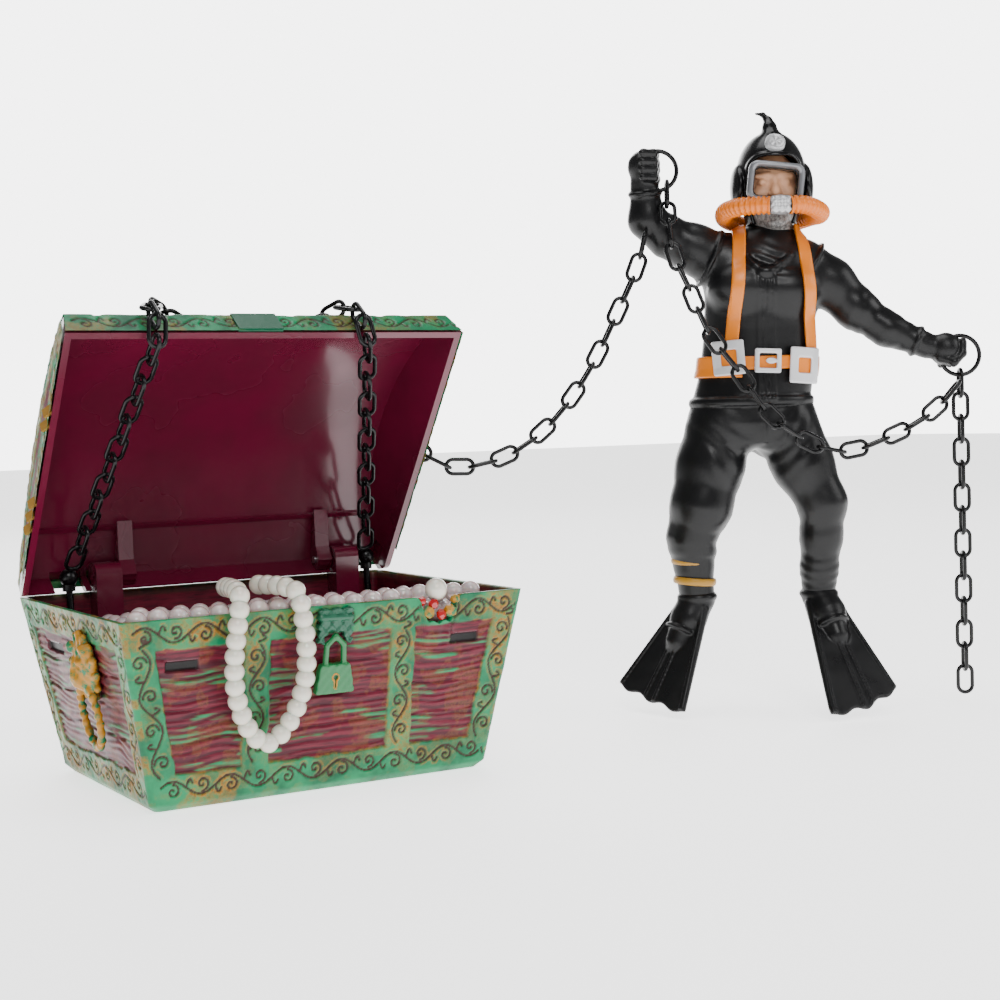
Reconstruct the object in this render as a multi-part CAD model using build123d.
from build123d import *
import math
import os

# Aquarium treasure chest with a hinged lid, link chains and a diver figure.
# Millimetres, +Z up, +X along the chest, +Y towards the hinge side.
# The origin is the middle of the chest's underside.

# ---- driving dimensions -------------------------------------------------------------
TUB_TOP_X = 92.0          # chest length over the rim
TUB_TOP_Y = 71.2          # chest depth over the rim
TUB_HIGH = 39.7
FOOT_X = 78.0             # chest length at the top of the foot bevel
FOOT_Y = 58.2
FOOT_BEVEL = 1.6
WALL = 1.6
PANEL_DEEP = 0.5          # planks lie this far behind the straps
TOP_BAND = 6.2            # height of the strap under the rim
BOTTOM_BAND = 6.0
CORNER_BAND = 6.4         # width of the straps beside the corners
STRAP_X = (-16.6, 16.6)   # middles of the two upright straps
STRAP_WIDE = 5.8
SLOT_X = (-32.6, 31.8)    # snap slots of the tray, front and back
SLOT_Y = 15.6             # snap slots of the tray, ends
SLOT_WIDE = 7.2
SLOT_Z = (28.8, 33.2)

HINGE_Y = 32.4
HINGE_Z = 43.5
LID_OPEN_DEG = 54.5       # lid angle above closed in the stored pose
LID_X = 93.0              # lid length over its rim
LID_FRONT_Y = -36.1
LID_BACK_Y = 35.6
LID_RIM_Z = 40.0
LID_BAND = 6.2            # upright wall of the lid below the dome
LID_RISE = 17.0           # dome top above the lid's rim
LID_TAPER_DEG = 12.0      # lean of the lid's end walls
LID_WALL = 1.5
SWING_CLEAR = 3.5         # largest radius about the hinge behind the axis

POST_X = (-26.6, 33.9)    # middles of the hinge posts
POST_WIDE = 6.2
PIN_R = 0.9
RUN_CLEAR = 0.06
ARM_WIDE = 3.6
BALL_X = (-35.0, 40.9)
BALL_R = 2.1

TRAY_TOP = 33.0
TRAY_THICK = 2.0
BEAD_R = 2.3
NIPPLE_X = 10.0
NIPPLE_Z = 9.0
NIPPLE_R = 2.4            # free end, for 4 mm airline
NIPPLE_LONG = 8.0
NIPPLE_BORE_R = 1.4
INLET_R = 2.2             # tube from the riser through the back wall
COLLAR_R = 3.4
COLLAR_Y = 32.0           # the collar's face, where the free end starts
RISER_Y = 12.0
RISER_R = 2.7

WIRE = 0.98               # chain wire
LINK_IN = 6.0             # inside length of a link
LINK_WIDE = 4.6
PITCH = 5.85
LINK_LIFT = 2.9           # chain middle above a surface that it lies on
RING_R = 5.0              # hand rings, to the middle of the wire
RING_WIRE_R = 0.55

DIVER_AT = (135.0, -8.0)  # diver's own origin on the floor
DIVER_TURN = -30.6        # degrees about +Z

GAP = 0.3

os.makedirs("parts", exist_ok=True)


def save(name, shape):
    export_step(shape, f"parts/{name}.step")


def save_group(name, shapes):
    save(name, Compound(children=list(shapes)))


def at(x, y, z):
    return Location((x, y, z))


def block(x0, x1, y0, y1, z0, z1):
    size = (x1 - x0, y1 - y0, z1 - z0)
    return at((x0 + x1) / 2, (y0 + y1) / 2, (z0 + z1) / 2) * Box(*size)


def rect_loft(levels):
    """A loft through centred rectangles, each given as (z, length, depth)."""
    faces = [at(0, 0, z) * Rectangle(x, y) for z, x, y in levels]
    return loft(faces, ruled=True)


def oval_loft(levels):
    """A loft through ovals, each given as (z, centre x, centre y, radius x, radius y)."""
    faces = [at(cx, cy, z) * Ellipse(rx, ry) for z, cx, cy, rx, ry in levels]
    return loft(faces)


def limb(stations):
    """A round limb through stations (x, y, z, radius), square to the path between them."""
    points = [Vector(*s[:3]) for s in stations]
    faces = []
    for i, s in enumerate(stations):
        before = points[max(i - 1, 0)]
        after = points[min(i + 1, len(points) - 1)]
        faces.append(Plane(origin=points[i], z_dir=after - before) * Circle(s[3]))
    return loft(faces)


def ellipsoid(centre, radii):
    return at(*centre) * scale(Sphere(1), by=radii)


def rod(start, end, radius):
    a = Vector(*start)
    b = Vector(*end)
    return Plane(origin=a, z_dir=b - a) * Cylinder(
        radius, (b - a).length, align=(Align.CENTER, Align.CENTER, Align.MIN))


# ---- chest ----------------------------------------------------------------------------
def half_x(z):
    """Half length of the tub's outside at height z."""
    share = (z - FOOT_BEVEL) / (TUB_HIGH - FOOT_BEVEL)
    return (FOOT_X + (TUB_TOP_X - FOOT_X) * share) / 2


def half_y(z):
    """Half depth of the tub's outside at height z."""
    share = (z - FOOT_BEVEL) / (TUB_HIGH - FOOT_BEVEL)
    return (FOOT_Y + (TUB_TOP_Y - FOOT_Y) * share) / 2


def tub_outside(inset, z_low, z_high):
    """The tapered tub body, moved in by inset, between two heights."""
    return rect_loft([(z, 2 * (half_x(z) - inset), 2 * (half_y(z) - inset)) for z in (z_low, z_high)])


def panel_recess(x_low, x_high, wide_axis):
    """A plank field on the front (+X wide) or on an end, as a skin PANEL_DEEP thick."""
    z_low = BOTTOM_BAND + FOOT_BEVEL
    z_high = TUB_HIGH - TOP_BAND
    skin = tub_outside(-1, z_low, z_high) - tub_outside(PANEL_DEEP, z_low - 1, z_high + 1)
    if wide_axis == "x":
        front = block(x_low, x_high, -60, -20, 0, 60)
        return skin & (front + mirror(front, Plane.XZ))
    end = block(-70, -34, x_low, x_high, 0, 60)
    return skin & (end + mirror(end, Plane.YZ))


def chest_tub():
    foot = rect_loft([(0, FOOT_X - 2 * FOOT_BEVEL, FOOT_Y - 2 * FOOT_BEVEL), (FOOT_BEVEL, FOOT_X, FOOT_Y)])
    tub = foot + tub_outside(0, FOOT_BEVEL, TUB_HIGH)
    tub -= tub_outside(WALL, FOOT_BEVEL, TUB_HIGH + 1)
    inner_low = TRAY_TOP - TRAY_THICK - 3
    ledge = tub_outside(WALL - 0.1, inner_low, TRAY_TOP - TRAY_THICK)
    ledge -= tub_outside(WALL + 1.4, inner_low - 1, TRAY_TOP)
    tub += ledge
    edge = half_x(20) - CORNER_BAND
    half = STRAP_WIDE / 2
    tub -= panel_recess(-edge, STRAP_X[0] - half, "x")
    tub -= panel_recess(STRAP_X[0] + half, STRAP_X[1] - half, "x")
    tub -= panel_recess(STRAP_X[1] + half, edge, "x")
    side = half_y(20) - CORNER_BAND
    tub -= panel_recess(-side, side, "y")
    for x in SLOT_X:
        tub -= block(x - SLOT_WIDE / 2, x + SLOT_WIDE / 2, -50, 50, *SLOT_Z)
    tub -= block(-60, 60, SLOT_Y - SLOT_WIDE / 2, SLOT_Y + SLOT_WIDE / 2, *SLOT_Z)
    tub -= jewel_notch()
    for x in BALL_X:
        tub -= block(x - 3.1, x + 3.1, 30, 50, 36.6, 50)
    return tub - rod((NIPPLE_X, 20, NIPPLE_Z), (NIPPLE_X, 50, NIPPLE_Z), INLET_R + 0.02)


def jewel_notch():
    """The dip in the front rim that carries the jewels."""
    return at(24.8, -34, 42.2) * Rotation(90, 0, 0) * Cylinder(6.6, 12)


def treasure_tray():
    tray = tub_outside(WALL + 0.15, TRAY_TOP - TRAY_THICK, TRAY_TOP)
    tab = SLOT_WIDE / 2 - 0.4
    for x in SLOT_X:
        tray += block(x - tab, x + tab, -half_y(32) + 0.9, half_y(32) - 0.9, TRAY_TOP - TRAY_THICK, TRAY_TOP)
    reach = half_x(32) - 0.9
    tray += block(-reach, reach, SLOT_Y - tab, SLOT_Y + tab, TRAY_TOP - TRAY_THICK, TRAY_TOP)
    return tray - rod((NIPPLE_X, RISER_Y, 20), (NIPPLE_X, RISER_Y, 40), RISER_R + 0.1)


def air_riser():
    """Upright air tube from the inlet to the bubble hole in the tray."""
    tube = rod((NIPPLE_X, RISER_Y, 4), (NIPPLE_X, RISER_Y, TRAY_TOP + 1), RISER_R)
    tube -= rod((NIPPLE_X, RISER_Y, 5.5), (NIPPLE_X, RISER_Y, TRAY_TOP + 2), 1.6)
    return tube - rod((NIPPLE_X, RISER_Y, NIPPLE_Z), (NIPPLE_X, 20, NIPPLE_Z), INLET_R)


def air_nipple(tub):
    """Inlet glued through the back wall: inner tube, collar and a free end for soft airline."""
    tip = COLLAR_Y + NIPPLE_LONG
    collar = rod((NIPPLE_X, 27, NIPPLE_Z), (NIPPLE_X, COLLAR_Y, NIPPLE_Z), COLLAR_R)
    collar -= tub_outside(PANEL_DEEP, FOOT_BEVEL, TUB_HIGH)
    inlet = collar - tub + rod((NIPPLE_X, RISER_Y, NIPPLE_Z), (NIPPLE_X, COLLAR_Y, NIPPLE_Z), INLET_R)
    inlet += rod((NIPPLE_X, COLLAR_Y, NIPPLE_Z), (NIPPLE_X, tip, NIPPLE_Z), NIPPLE_R)
    inlet -= rod((NIPPLE_X, 5, NIPPLE_Z), (NIPPLE_X, tip + 1, NIPPLE_Z), NIPPLE_BORE_R)
    return inlet - rod((NIPPLE_X, RISER_Y, 4), (NIPPLE_X, RISER_Y, 20), RISER_R)


def ballast_block():
    body = block(-26, 4, -18, 18, FOOT_BEVEL + 0.2, 8)
    return fillet(body.edges().filter_by(Axis.Z), 3)


def hinge_post(x):
    """Upright lug behind the treasure, rounded over its top, with the pin hole."""
    half = POST_WIDE / 2
    front = 28.4
    back = half_y(38) - WALL - 0.15
    top = 46.6
    post = block(x - half, x + half, front, back + 1.0, TRAY_TOP + 0.05, top)
    top_edges = post.edges().group_by(Axis.Z)[-1].filter_by(Axis.X)
    post = fillet(top_edges, 2.6)
    post -= tub_outside(-5, 20, TUB_HIGH + 0.1) - tub_outside(WALL + 0.1, 19, TUB_HIGH + 1)
    return post - rod((x - 9, HINGE_Y, HINGE_Z), (x + 9, HINGE_Y, HINGE_Z), PIN_R)


def pin_span(side):
    """Low and high x of a hinge pin, from inside its post to past its arm."""
    x = POST_X[side]
    if side == 0:
        return x - POST_WIDE / 2 + 0.6, x + POST_WIDE / 2 + GAP + ARM_WIDE + 0.4
    return x - POST_WIDE / 2 - GAP - ARM_WIDE - 0.4, x + POST_WIDE / 2 - 0.6


def hinge_pin(side):
    low, high = pin_span(side)
    return rod((low, HINGE_Y, HINGE_Z), (high, HINGE_Y, HINGE_Z), PIN_R)


def chain_anchor(side):
    """Stem with a shallow cup under the ball that ends a lid chain."""
    x = BALL_X[side]
    stem = rod((x, HINGE_Y - 1.2, TRAY_TOP + 0.1), (x, HINGE_Y, HINGE_Z - 1.2), 0.8)
    stem -= block(x - 3, x + 3, 20, 40, 20, TRAY_TOP + 0.05)
    cup = rod((x, HINGE_Y, HINGE_Z - BALL_R - 1.0), (x, HINGE_Y, HINGE_Z - 1.3), 1.5)
    return stem + cup - at(x, HINGE_Y, HINGE_Z) * Sphere(BALL_R + 0.1)


# ---- treasure ----------------------------------------------------------------------------
def capsule(start, end, radius):
    body = rod(start, end, radius)
    return body + at(*start) * Sphere(radius) + at(*end) * Sphere(radius)


def pearl_strings():
    """Moulded pearl strands lying along the chest, as plain rounded bars."""
    low = TRAY_TOP + BEAD_R + 0.05
    high = low + 4.05
    front = capsule((-41.0, -31.3, high), (15.4, -31.3, high), BEAD_R)
    back = capsule((-38.6, -26.6, high), (37.4, -26.6, high), BEAD_R)
    floor_rows = []
    for row in range(8):
        y = -29.0 + row * (2 * BEAD_R + 0.2)
        floor_rows.append(capsule((-39.6, y, low), (39.6, y, low), BEAD_R))
    return front, back, floor_rows


NECKLACE = (
    (-19.5, -25.0, 44.1), (-21.6, -38.9, 44.1), (-23.4, -37.8, 28.5), (-21.4, -36.2, 18.6),
    (-15.7, -35.2, 12.2), (-9.7, -36.2, 19.0), (-7.4, -37.8, 28.5), (-9.0, -38.9, 44.1),
    (-12.2, -25.0, 44.1))
NECKLACE_ARCS = (4.0, 14.0, 9.0, 4.6, 8.5, 14.0, 4.0)


def necklace():
    """A hanging pearl loop: over the rim, down the front and back over the rim."""
    path = FilletPolyline(*NECKLACE, radius=list(NECKLACE_ARCS))
    start = Plane(origin=path @ 0, z_dir=path % 0)
    return sweep(start * Circle(BEAD_R), path=path)


def jewel_cluster():
    """Cut stones heaped in the rim's dip."""
    stones = []
    for x, z, r, turn in ((21.9, 39.2, 1.3, 10), (28.4, 39.4, 1.4, 40), (24.8, 37.3, 1.0, 25)):
        stone = at(x, -34.6, z) * Rotation(0, turn, 0) * Box(r * 1.5, 1.4, r * 1.5)
        stones.append(chamfer(stone.edges(), 0.25))
    return stones


# ---- applied lock and lion fittings -----------------------------------------------------------
def front_plane(x, z):
    """A plane on the front face: x along the chest, y up the face, z outward."""
    slope = Vector(0, -(half_y(TUB_HIGH) - half_y(10)), TUB_HIGH - 10)
    return Plane(origin=(x, -half_y(z), z), x_dir=(1, 0, 0), z_dir=Vector(1, 0, 0).cross(slope))


def end_plane(y, z, sign):
    """A plane on an end face: x along the chest's depth, y up the face, z outward."""
    slope = Vector(sign * (half_x(TUB_HIGH) - half_x(10)), 0, TUB_HIGH - 10)
    across = Vector(0, sign, 0)
    return Plane(origin=(sign * half_x(z), y, z), x_dir=across, z_dir=across.cross(slope))


def hasp_plate():
    outline = Polyline((-4.4, 4.2), (4.4, 4.2), (3.2, 1.2), (4.0, -1.6), (-4.0, -1.6), (-3.2, 1.2), close=True)
    plate = extrude(make_face(outline), 0.9)
    return front_plane(0.2, 35.2) * (at(0, 0, 0.02) * plate)


def padlock():
    outline = Polyline((-3.4, 6.2), (3.4, 6.2), (3.4, 0.6), (4.3, -4.6), (0, -6.2), (-4.3, -4.6), (-3.4, 0.6), close=True)
    body = extrude(make_face(outline), 1.6)
    body -= at(0, 3.0, 0) * Box(3.0, 3.6, 6)
    return front_plane(0.2, 26.8) * (at(0, 0, 0.02) * body)


def lion_knocker(sign, tub):
    """Lion mask with its drop ring, moulded as one piece and glued in the end panel."""
    head = at(0, 0, -PANEL_DEEP) * extrude(Circle(6.4), 2.4 + PANEL_DEEP)
    nose = at(0, -1.3, 2.2) * Sphere(2.3)
    head += nose & at(0, 0, 5) * Box(14, 14, 9.4)
    ring = Ellipse(4.6, 7.4) - Ellipse(3.1, 5.9)
    drop = at(0, -10.4, -PANEL_DEEP) * extrude(ring, 1.7 + PANEL_DEEP)
    return end_plane(-8.4, 28.0, sign) * (at(0, 0, 0.02) * (drop + head)) - tub


# ---- lid, drawn closed and then turned to its stored pose ---------------------------------------
def open_lid(shape):
    return shape.rotate(Axis((0, HINGE_Y, HINGE_Z), (1, 0, 0)), -LID_OPEN_DEG)


def lid_profile(inset, low_z):
    """The lid's side outline: upright walls and a three-centre dome."""
    f = LID_FRONT_Y + inset
    b = LID_BACK_Y - inset
    wall_top = LID_RIM_Z + LID_BAND - inset * 0.3
    top = LID_RIM_Z + LID_RISE - inset
    with BuildLine(Plane.YZ) as outline:
        Line((f, low_z), (f, wall_top))
        ThreePointArc((f, wall_top), ((f + b) / 2, top), (b, wall_top))
        Line((b, wall_top), (b, low_z))
        Line((b, low_z), (f, low_z))
    return make_face(outline.line)


def lid_solid(inset, low_z):
    """The lid's outline drawn along X, with leaning end walls."""
    half = LID_X / 2 - inset
    body = extrude(lid_profile(inset, low_z), half + 5, both=True)
    lean = math.tan(math.radians(LID_TAPER_DEG))
    rise = 30
    low_half = half + (LID_RIM_Z - low_z) * lean
    top_half = low_half - rise * lean
    cutter = Plane.XZ * make_face(Polyline(
        (-low_half, low_z), (low_half, low_z), (top_half, low_z + rise), (-top_half, low_z + rise), close=True))
    return body & extrude(cutter, 60, both=True)


def rear_cut():
    """Takes away what would strike the tub as the lid swings."""
    corner = block(-60, 60, HINGE_Y, 60, 20, HINGE_Z)
    return corner - rod((-70, HINGE_Y, HINGE_Z), (70, HINGE_Y, HINGE_Z), SWING_CLEAR)


def lid_shell():
    shell = lid_solid(0, LID_RIM_Z) - lid_solid(LID_WALL, LID_RIM_Z - 2)
    shell -= rear_cut()
    for x in BALL_X:
        shell -= at(x, 0, 0) * block(-3.6, 3.6, 29.0, 60, 20, 46.5)
    for x in POST_X:
        shell -= at(x, 0, 0) * block(-POST_WIDE / 2 - GAP, POST_WIDE / 2 + GAP, 33.0, 60, 20, 47.6)
    rib_y = HINGE_Y - 9
    rib = block(-60, 60, rib_y, rib_y + 1.2, LID_RIM_Z + LID_BAND + 4.0, 80)
    shell += rib & lid_solid(LID_WALL - 0.2, LID_RIM_Z)
    return open_lid(shell)


def lid_arm(side):
    """Knuckle and gusset that carry the lid on its pin."""
    half = POST_WIDE / 2 + GAP
    x0 = POST_X[0] + half if side == 0 else POST_X[1] - half - ARM_WIDE
    with BuildLine(Plane.YZ) as outline:
        Polyline((HINGE_Y - 1.6, HINGE_Z - 2.2), (HINGE_Y + 1.4, HINGE_Z - 2.2), (33.9, 45.6),
                 (28.6, 48.0), (22.0, 50.2), (HINGE_Y - 3.2, HINGE_Z + 1.2), close=True)
    arm = at(x0, 0, 0) * extrude(make_face(outline.line), ARM_WIDE)
    arm &= lid_solid(LID_WALL + 0.02, LID_RIM_Z)
    arm += rod((x0, HINGE_Y, HINGE_Z), (x0 + ARM_WIDE, HINGE_Y, HINGE_Z), 2.3)
    arm -= lid_solid(0, LID_RIM_Z) - lid_solid(LID_WALL + 0.02, LID_RIM_Z - 2)
    arm -= rod((x0 - 1, HINGE_Y, HINGE_Z), (x0 + ARM_WIDE + 1, HINGE_Y, HINGE_Z), PIN_R + RUN_CLEAR)
    return open_lid(arm)


def lid_lock_block():
    """Strike plate of the lock on the lid's front wall."""
    plate = block(-8.4, 2.0, LID_FRONT_Y - 0.9, LID_FRONT_Y - 0.02, LID_RIM_Z + 0.4, LID_RIM_Z + LID_BAND + 0.2)
    return open_lid(plate)


def lid_jewels():
    """Gilt stones set along the left rim of the lid."""
    stones = []
    for y in (-15.6, -12.0, 8.6, 12.2, 15.8):
        x = -LID_X / 2 - 0.35
        stone = at(x, y, LID_RIM_Z + 1.6) * Rotation(20, 0, 30) * Box(0.7, 2.4, 2.0)
        stones.append(open_lid(stone - lid_solid(-0.02, LID_RIM_Z)))
    return stones


# ---- chains ---------------------------------------------------------------------------------
def link():
    """One chain link: long axis on X, flat in XY."""
    half = LINK_IN / 2 + WIRE / 2
    end_r = LINK_WIDE / 2 - WIRE / 2
    straight = half - end_r
    bend = Torus(end_r, WIRE / 2)
    right = at(straight, 0, 0) * (bend & block(0, 9, -9, 9, -9, 9))
    left = at(-straight, 0, 0) * (bend & block(-9, 0, -9, 9, -9, 9))
    sides = rod((-straight, end_r, 0), (straight, end_r, 0), WIRE / 2)
    sides += rod((-straight, -end_r, 0), (straight, -end_r, 0), WIRE / 2)
    return right + left + sides


LINK = link()


def place_link(centre, along, side, quarter):
    """A link at centre, long axis along, its flat turned a quarter when asked."""
    z_dir = along.cross(side).normalized()
    x_dir = along.normalized()
    if quarter:
        z_dir = x_dir.cross(z_dir).normalized()
    return Plane(origin=centre, x_dir=x_dir, z_dir=z_dir).location * LINK


def smooth_points(route, per_span=14):
    """Points along a smooth curve through a route."""
    edge = Edge.make_spline([Vector(*p) for p in route])
    count = per_span * (len(route) - 1)
    return [edge @ (i / count) for i in range(count + 1)]


def run_length(points):
    return sum((b - a).length for a, b in zip(points, points[1:]))


def point_on(points, length):
    """The point at a length along the straight runs between points."""
    for a, b in zip(points, points[1:]):
        step = (b - a).length
        if length <= step:
            return a + (b - a) * (length / step)
        length -= step
    return points[-1]


def chain(runs, side, first_quarter=False):
    """Links from joint to joint. Each run is (points, link count), and counts may end in a half,
    so that a link sits across the corner between two runs."""
    total = round(sum(count for _, count in runs))
    joints = []
    for k in range(total + 1):
        left = float(k)
        for points, count in runs:
            if left <= count + 1e-6:
                joints.append(point_on(points, run_length(points) * left / count))
                break
            left -= count
    links = []
    for i, (a, b) in enumerate(zip(joints, joints[1:])):
        quarter = bool(i % 2) != first_quarter
        links.append(place_link((a + b) * 0.5, b - a, Vector(*side), quarter))
    return links


def lid_point(x, y, z):
    """Where a point of the closed lid lies in the stored pose."""
    turn = math.radians(-LID_OPEN_DEG)
    dy = y - HINGE_Y
    dz = z - HINGE_Z
    new_y = HINGE_Y + math.cos(turn) * dy - math.sin(turn) * dz
    new_z = HINGE_Z + math.sin(turn) * dy + math.cos(turn) * dz
    return Vector(x, new_y, new_z)


def dome_height(y, lift):
    """Height of the closed lid's dome at y, or lift above it."""
    half = (LID_BACK_Y - LID_FRONT_Y) / 2
    rise = LID_RISE - LID_BAND
    radius = (half * half + rise * rise) / (2 * rise)
    middle_y = (LID_BACK_Y + LID_FRONT_Y) / 2
    middle_z = LID_RIM_Z + LID_RISE - radius
    return middle_z + math.sqrt((radius + lift) ** 2 - (y - middle_y) ** 2)


def dome_run(start, end, steps=8):
    """Points over the dome, a link's lift above it, between two (x, y) spots of the closed lid."""
    spots = [(start[0] + (end[0] - start[0]) * i / steps, start[1] + (end[1] - start[1]) * i / steps)
             for i in range(steps + 1)]
    return [lid_point(x, y, dome_height(y, LINK_LIFT)) for x, y in spots]


BRIDLE_SPOT = (6.0, -13.0)      # where the bridle ring lies on the closed lid's dome
BRIDLE_R = 3.7
BRIDLE_WIRE_R = 0.6
BRIDLE_JOINT = 2.8              # first chain joint, from the bridle ring's middle
EDGE_X = (-27.4, 20.4)          # where the lid chains cross the lid's front edge


def beside_bridle(toward, off):
    """A dome spot at a distance from the bridle ring's middle, towards another spot."""
    dx = toward[0] - BRIDLE_SPOT[0]
    dy = toward[1] - BRIDLE_SPOT[1]
    far = math.hypot(dx, dy)
    return (BRIDLE_SPOT[0] + dx * off / far, BRIDLE_SPOT[1] + dy * off / far)


def bridle_ring():
    x, y = BRIDLE_SPOT
    flat = at(x, y, dome_height(y, LINK_LIFT)) * Rotation(8, 0, 0) * Torus(BRIDLE_R, BRIDLE_WIRE_R)
    return open_lid(flat)


def lid_chain(side):
    """End ball on the hinge line, inside run, and the run over the edge to the bridle ring."""
    ball_at = Vector(BALL_X[side], HINGE_Y, HINGE_Z)
    edge_y = LID_FRONT_Y - LINK_LIFT
    under_edge = lid_point(EDGE_X[side], edge_y, LID_RIM_Z - 3.0)
    over_edge = lid_point(EDGE_X[side], edge_y, dome_height(edge_y, LINK_LIFT))
    run = under_edge - ball_at
    first_joint = ball_at + run.normalized() * (BALL_R + 0.4 + LINK_IN / 2 + WIRE - PITCH / 2)
    over_dome = dome_run((EDGE_X[side], edge_y), beside_bridle((EDGE_X[side], edge_y), BRIDLE_JOINT))
    dome_links = (7.5, 5.5)[side]
    links = chain([([first_joint, under_edge], 12.5), ([under_edge, over_edge], 2), (over_dome, dome_links)],
                  (1, 0, 0))
    ball = at(*ball_at) * Sphere(BALL_R)
    stub = rod(ball_at, ball_at + run.normalized() * (BALL_R + 0.3), 0.5)
    return [ball + stub] + links


TETHER_NEAR = ((51.6, 24.8, 71.2), (57.5, 22.2, 66.0), (65.0, 19.0, 65.2), (75.3, 14.6, 68.7), (83.7, 11.0, 75.5))
TETHER_FAR = ((83.7, 11.0, 75.5), (90.3, 8.2, 84.1), (95.7, 5.9, 93.6), (100.4, 3.9, 103.8), (104.6, 2.2, 113.2),
              (106.9, 0.7, 122.8))


def tether_chains():
    """The long chain from the bridle ring to the diver, in two halves."""
    leave = (40.0, 1.0)
    dome = dome_run(beside_bridle(leave, BRIDLE_JOINT), leave)
    near_route = [dome[0], dome[4], dome[8]] + [Vector(*p) for p in TETHER_NEAR]
    near_points = smooth_points(near_route)
    far_points = smooth_points(TETHER_FAR)
    near_count = round(run_length(near_points) / PITCH)
    far_count = round(run_length(far_points) / PITCH)
    near = chain([(near_points, near_count)], (0, 0, 1), False)
    far = chain([(far_points, far_count)], (0, 0, 1), bool(near_count % 2))
    return near, far


# ---- diver -----------------------------------------------------------------------------------
TORSO = (
    (79.6, -1.8, 0.5, 15.2, 10.2), (88.0, 0.0, 0.5, 14.9, 9.3), (98.0, 0.8, 0.3, 14.5, 8.9),
    (108.0, 1.2, 0.5, 14.6, 9.5), (115.0, 2.0, 1.0, 13.6, 9.4), (120.0, 3.2, 1.5, 10.4, 7.8),
    (124.0, 4.2, 1.2, 6.2, 5.8))


def to_world(shape):
    return Location((DIVER_AT[0], DIVER_AT[1], 0), (0, 0, DIVER_TURN)) * shape


def torso_form(grow=0.0):
    return oval_loft([(z, cx, cy, rx + grow, ry + grow) for z, cx, cy, rx, ry in TORSO])


def right_arm_form():
    arm = limb([(-8.5, 0.8, 116.0, 7.4), (-15.5, 0.4, 119.0, 6.4), (-22.5, -0.6, 122.5, 5.2),
                (-27.6, -1.6, 126.5, 4.5), (-28.2, -2.8, 135.5, 3.6)])
    return arm + ellipsoid((-28.0, -3.4, 140.0), (4.7, 4.6, 5.3))


def left_arm_form():
    arm = limb([(12.0, 0.8, 114.5, 7.2), (19.0, 0.4, 109.5, 6.4), (25.5, -0.6, 102.5, 5.2),
                (33.0, -1.8, 97.0, 4.2), (43.0, -3.0, 92.4, 3.3)])
    return arm + ellipsoid((48.0, -3.6, 91.4), (5.2, 4.4, 4.7))


RIGHT_RING = (-25.0, -3.4, 138.7)
LEFT_RING = (51.2, -3.5, 89.7)


def ring_at(centre, grow=0.0):
    return at(*centre) * Rotation(90, 0, 0) * Torus(RING_R, RING_WIRE_R + grow)


def trousers():
    pelvis = oval_loft([(79.4, -1.9, 0.5, 14.6, 9.7), (74.0, -2.0, 0.5, 16.6, 10.0),
                        (69.0, -2.1, 0.4, 15.6, 9.0), (66.8, -2.2, 0.3, 10.0, 6.5)])
    left_leg = limb([(-9.6, 0.4, 74.0, 8.8), (-13.0, -0.4, 63.0, 8.7), (-15.6, -1.8, 53.0, 7.9),
                     (-18.2, -1.0, 45.0, 6.1), (-17.7, 0.0, 38.0, 4.9), (-16.9, 0.5, 28.5, 4.5)])
    right_leg = limb([(6.4, 0.4, 74.0, 8.9), (11.0, -0.4, 63.0, 7.8), (15.6, -1.8, 53.0, 6.1),
                      (15.3, -1.0, 44.0, 5.2), (14.8, 0.0, 36.0, 4.6), (14.6, 0.5, 28.5, 4.3)])
    return pelvis + left_leg + right_leg


def leg_bands():
    """Two stretch bands round the right shin."""
    bands = []
    for z in (39.6, 33.6):
        x = -17.9 + (38.0 - z) * 0.09
        ring = at(x, 0, z) * Rotation(0, 9, 0) * Torus(4.95, 0.75)
        bands.append(ring - trousers())
    return bands


def flipper(ankle, heel_r, corners):
    """Foot pocket and fan blade. Corners run from the inner tip to the outer tip."""
    top = Vector(*ankle)
    tips = [Vector(*c) for c in corners]
    across = (tips[-1] - tips[0]).normalized()
    down = ((tips[0] + tips[-1]) * 0.5 - top).normalized()
    normal = across.cross(down).normalized()
    shoulder = [top + across * 4.6 + down * 4, top - across * 4.6 + down * 4]
    plane = Plane(origin=top, x_dir=across, z_dir=normal)
    outline = [plane.to_local_coords(p) for p in [tips[0]] + tips[1:] + shoulder]
    flat = make_face(Polyline(*[(p.X, p.Y) for p in outline], close=True))
    blade = plane * (at(0, 0, -0.8) * extrude(flat, 1.6))
    pocket = limb([(*ankle, heel_r), *[(*(top + down * s), heel_r * k) for s, k in ((6, 1.0), (13, 0.62))]])
    return blade + pocket


def air_tank(side):
    x = 0.8 + side * 5.2
    body = rod((x, 15.4, 88.0), (x, 15.4, 115.0), 4.7) + at(x, 15.4, 115.0) * Sphere(4.7)
    return fillet(body.edges().group_by(Axis.Z)[0], 1.2)


def tank_band():
    """Flat band round both tanks, with its back plate."""
    outer = block(-4.4, 6.0, 9.9, 20.9, 99.0, 103.0)
    outer += rod((-4.4, 15.4, 99.0), (-4.4, 15.4, 103.0), 5.5) + rod((6.0, 15.4, 99.0), (6.0, 15.4, 103.0), 5.5)
    return outer - air_tank(-1) - air_tank(1) - torso_form(0.02)


def regulator():
    """Round demand valve behind the neck, on the manifold between the tanks."""
    body = rod((4.0, 12.2, 124.2), (4.0, 17.0, 124.2), 5.4)
    bar = block(-3.5, 7.5, 13.6, 17.0, 118.5, 121.5)
    return body + bar - air_tank(-1) - air_tank(1) - torso_form(0.02)


def belt_zone(z_low, z_high):
    return block(-40, 40, -40, 40, z_low, z_high)


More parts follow.
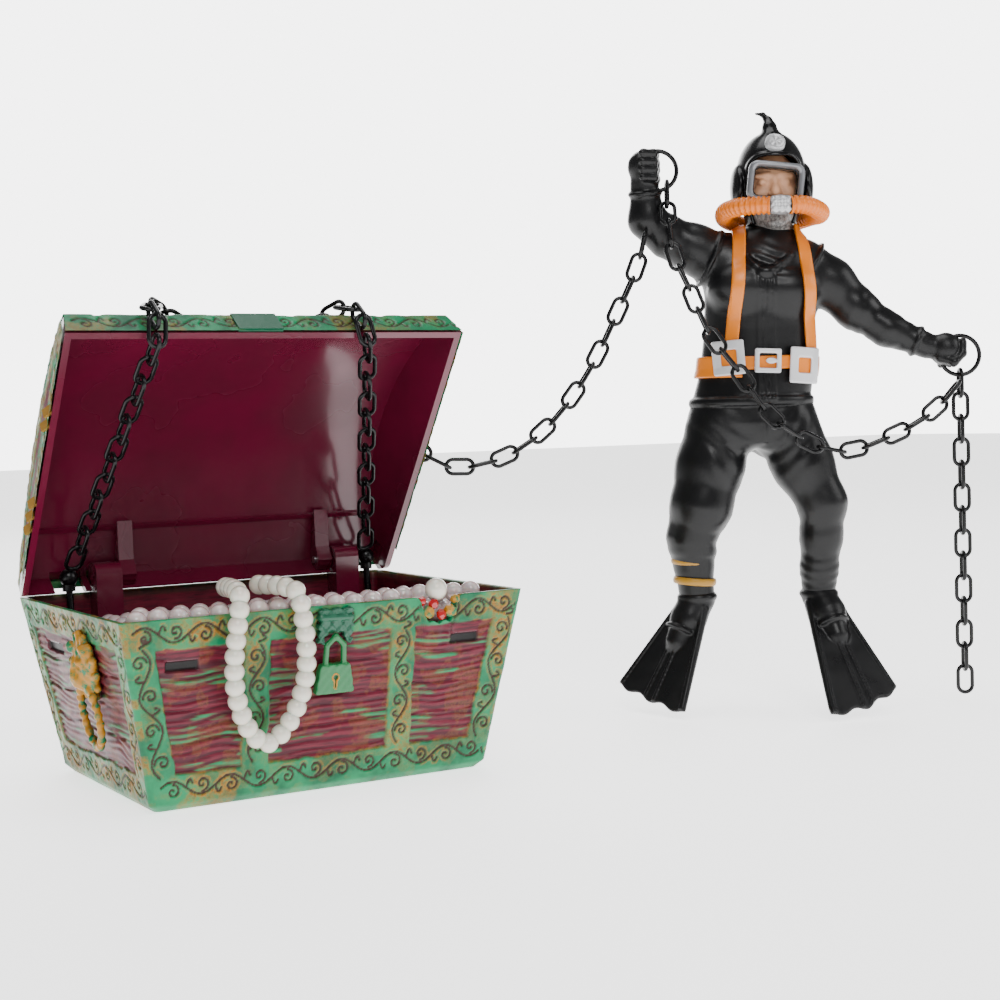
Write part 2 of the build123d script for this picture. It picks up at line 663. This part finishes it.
def strap_run(lower, upper, wide):
    """A slanting upright strip, as a prism that cuts the front of the torso."""
    x0, z0 = lower
    x1, z1 = upper
    strip = make_face(Polyline((x0 - wide / 2, z0), (x0 + wide / 2, z0), (x1 + wide / 2, z1), (x1 - wide / 2, z1),
                               close=True))
    return extrude(Plane.XZ * strip, 40)


def buckle_window(centre, size, hole, tilt):
    """A square frame prism in front of the belt."""
    x, z = centre
    frame = Rectangle(*size) - Rectangle(*hole)
    return extrude(Plane(origin=(x, 0, z), x_dir=(1, 0, 0), z_dir=(0, -1, 0)) * (Rotation(0, 0, tilt) * frame), 40)


def diver_parts():
    """Every node of the diver, in the diver's own frame."""
    torso = torso_form()
    made = {"torso": torso}
    wide_torso = torso_form(1.1)
    belt = (wide_torso & belt_zone(85.6, 91.0)) - torso
    made["weight_belt"] = belt
    right_arm = right_arm_form() - torso - ring_at(RIGHT_RING, 0.1)
    left_arm = left_arm_form() - torso - ring_at(LEFT_RING, 0.1)
    made["right_arm"] = right_arm
    made["trousers"] = trousers()
    lean_torso = torso_form(0.9)
    made["right_strap"] = (lean_torso & strap_run((-7.9, 91.3), (-4.2, 122.0), 3.2)) - torso
    made["left_strap"] = (lean_torso & strap_run((14.0, 91.3), (11.4, 120.5), 3.2)) - torso
    made["left_arm"] = left_arm - made["left_strap"]
    outer = torso_form(2.3) - torso_form(1.12)
    made["right_buckle"] = outer & buckle_window((-8.5, 90.0), (7.4, 7.6), (3.2, 3.2), 3)
    made["left_buckle"] = outer & buckle_window((10.8, 88.2), (7.0, 7.4), (2.8, 3.0), -3)
    made["centre_buckle"] = outer & buckle_window((1.3, 89.4), (6.0, 5.2), (3.6, 2.6), -4)
    made["right_tank"] = air_tank(-1)
    made["left_tank"] = air_tank(1)
    made["tank_band"] = tank_band()
    made["regulator"] = regulator()
    made["leg_bands"] = Compound(children=leg_bands())
    made["right_flipper"] = flipper((-16.9, 0.5, 29.0), 5.4, RIGHT_FIN) - trousers()
    made["left_flipper"] = flipper((14.6, 0.5, 29.0), 5.2, LEFT_FIN) - trousers()
    made["right_ring"] = ring_at(RIGHT_RING)
    made["left_ring"] = ring_at(LEFT_RING)
    made["hand_chain"] = Compound(children=hand_chain())
    return made


RIGHT_FIN = ((-22.9, -15.3, 1.0), (-29.6, -6.4, 2.6), (-38.1, 4.5, 6.0))
LEFT_FIN = ((13.1, -24.4, 1.0), (23.1, -18.8, 1.8), (32.4, -12.4, 5.5))
HAND_CHAIN = ((-22.6, -3.3, 135.3), (-22.8, -5.4, 130.4), (-22.9, -8.8, 125.4), (-22.0, -10.0, 117.4),
              (-18.2, -12.0, 107.6), (-14.4, -13.6, 97.6), (-6.4, -15.2, 86.2), (-0.9, -15.4, 77.6),
              (9.0, -14.6, 69.6), (19.1, -13.2, 66.2), (29.2, -11.8, 68.8), (39.3, -10.4, 73.4),
              (46.2, -9.4, 79.0), (49.2, -9.0, 82.6))


def hand_chain():
    """The chain that hangs across the figure, from the right hand ring to the tail chain."""
    points = smooth_points(HAND_CHAIN)
    count = round(run_length(points) / PITCH)
    return chain([(points, count)], (0, 1, 0), False)


TAIL_LINKS = 14


def tail_chain():
    """Links hanging straight down from the left hand ring."""
    x, y, z = LEFT_RING
    top = z - RING_R + RING_WIRE_R + GAP + 0.05 - LINK_IN / 2 + PITCH / 2
    points = [Vector(x, y, top), Vector(x, y, top - TAIL_LINKS * PITCH)]
    return chain([(points, TAIL_LINKS)], (1, 0, 0), True)


def head_parts():
    made = {}
    head = ellipsoid((4.5, -0.6, 133.8), (7.0, 8.6, 9.6))
    neck = rod((4.2, 1.0, 124.4), (4.6, 0.8, 128.0), 5.0)
    helmet = ellipsoid((4.6, 0.8, 137.0), (8.9, 10.6, 11.6))
    helmet += rod((-4.9, 0.5, 134.2), (14.1, 0.5, 134.2), 4.2)
    helmet -= ellipsoid((4.5, -0.6, 133.8), (7.3, 8.9, 9.9))
    helmet -= block(-3.6, 12.2, -20, -3.4, 110, 141.0)
    helmet -= block(-20, 30, -20, 30, 110, 127.8)
    crest = limb([(4.6, -2.0, 147.4, 1.9), (4.0, -1.2, 150.0, 1.1), (2.4, -0.6, 152.6, 0.4)])
    made["head"] = head + neck - torso_form()
    made["helmet"] = helmet + crest
    lamp_plane = Plane(origin=(4.4, -8.2, 144.2), x_dir=(1, 0, 0), z_dir=(0, -1.0, 0.75))
    made["helmet_lamp"] = lamp_plane * Cylinder(2.6, 1.3) - helmet
    mask_plane = Plane(origin=(4.1, -9.9, 134.0), x_dir=(1, 0, -0.12), z_dir=(0, -1, -0.05))
    rim = RectangleRounded(14.0, 10.0, 2.4)
    hole = RectangleRounded(11.0, 7.2, 1.4)
    mouthpiece = at(4.4, -13.0, 128.0) * fillet(Box(5.8, 3.6, 4.4).edges(), 1.0)
    made["mask_frame"] = mask_plane * (at(0, 0, -0.6) * extrude(rim - hole, 2.4)) - mouthpiece
    made["mask_lens"] = mask_plane * (at(0, 0, -0.2) * extrude(RectangleRounded(10.9, 7.1, 1.35), 0.6))
    made["mouthpiece"] = mouthpiece
    for sign, word in ((-1, "right"), (1, "left")):
        made[f"{word}_hose"] = hose(sign) - mouthpiece - made["mask_frame"] - regulator()
    return made


def hose(sign):
    """Half of the breathing hose, from the mouthpiece round to the back of the neck."""
    middle = 4.3
    front_y = -12.9
    reach = 12.0
    path = [(4.4 + sign * 3.2, front_y, 128.1), (middle + sign * 9.0, front_y + 3.0, 128.0),
            (middle + sign * reach, front_y + 9.0, 127.4), (middle + sign * (reach - 1.0), 4.5, 126.8),
            (middle + sign * 6.6, 11.0, 125.6), (middle + sign * 3.4, 13.0, 125.0)]
    return limb([(*p, 2.25) for p in path])


# ---- write every node ----------------------------------------------------------------------------
def write_chest():
    tub = chest_tub()
    save("chest_tub", tub)
    save("treasure_tray", treasure_tray())
    save("air_riser", air_riser())
    save("air_nipple", air_nipple(tub))
    save("ballast_block", ballast_block())
    for side, word in ((0, "left"), (1, "right")):
        save(f"hinge_post_{word}", hinge_post(POST_X[side]))
        save(f"hinge_pin_{word}", hinge_pin(side))
        save(f"chain_anchor_{word}", chain_anchor(side))
        save(f"lion_knocker_{word}", lion_knocker((-1, 1)[side], tub))
    front, back, rows = pearl_strings()
    save("pearl_string_front", front)
    save("pearl_string_back", back)
    save_group("pearl_heap", rows)
    save("pearl_necklace", necklace())
    save("loose_pearl", at(25.2, -33.4, 40.9) * Sphere(2.4))
    save_group("jewel_cluster", jewel_cluster())
    save("hasp_plate", hasp_plate())
    save("padlock", padlock())


def write_lid():
    save("lid_shell", lid_shell())
    save("lid_arm_left", lid_arm(0))
    save("lid_arm_right", lid_arm(1))
    save("lid_lock_block", lid_lock_block())
    save_group("lid_jewels", lid_jewels())
    save_group("lid_chain_left", lid_chain(0))
    save_group("lid_chain_right", lid_chain(1))
    save("bridle_ring", bridle_ring())
    near, far = tether_chains()
    save_group("tether_chain_near", near)
    save_group("tether_chain_far", far)


def write_diver():
    parts = diver_parts()
    parts.update(head_parts())
    for name, shape in parts.items():
        save(name, to_world(shape))
    save("tail_chain", to_world(Compound(children=tail_chain())))


write_chest()
write_lid()
write_diver()
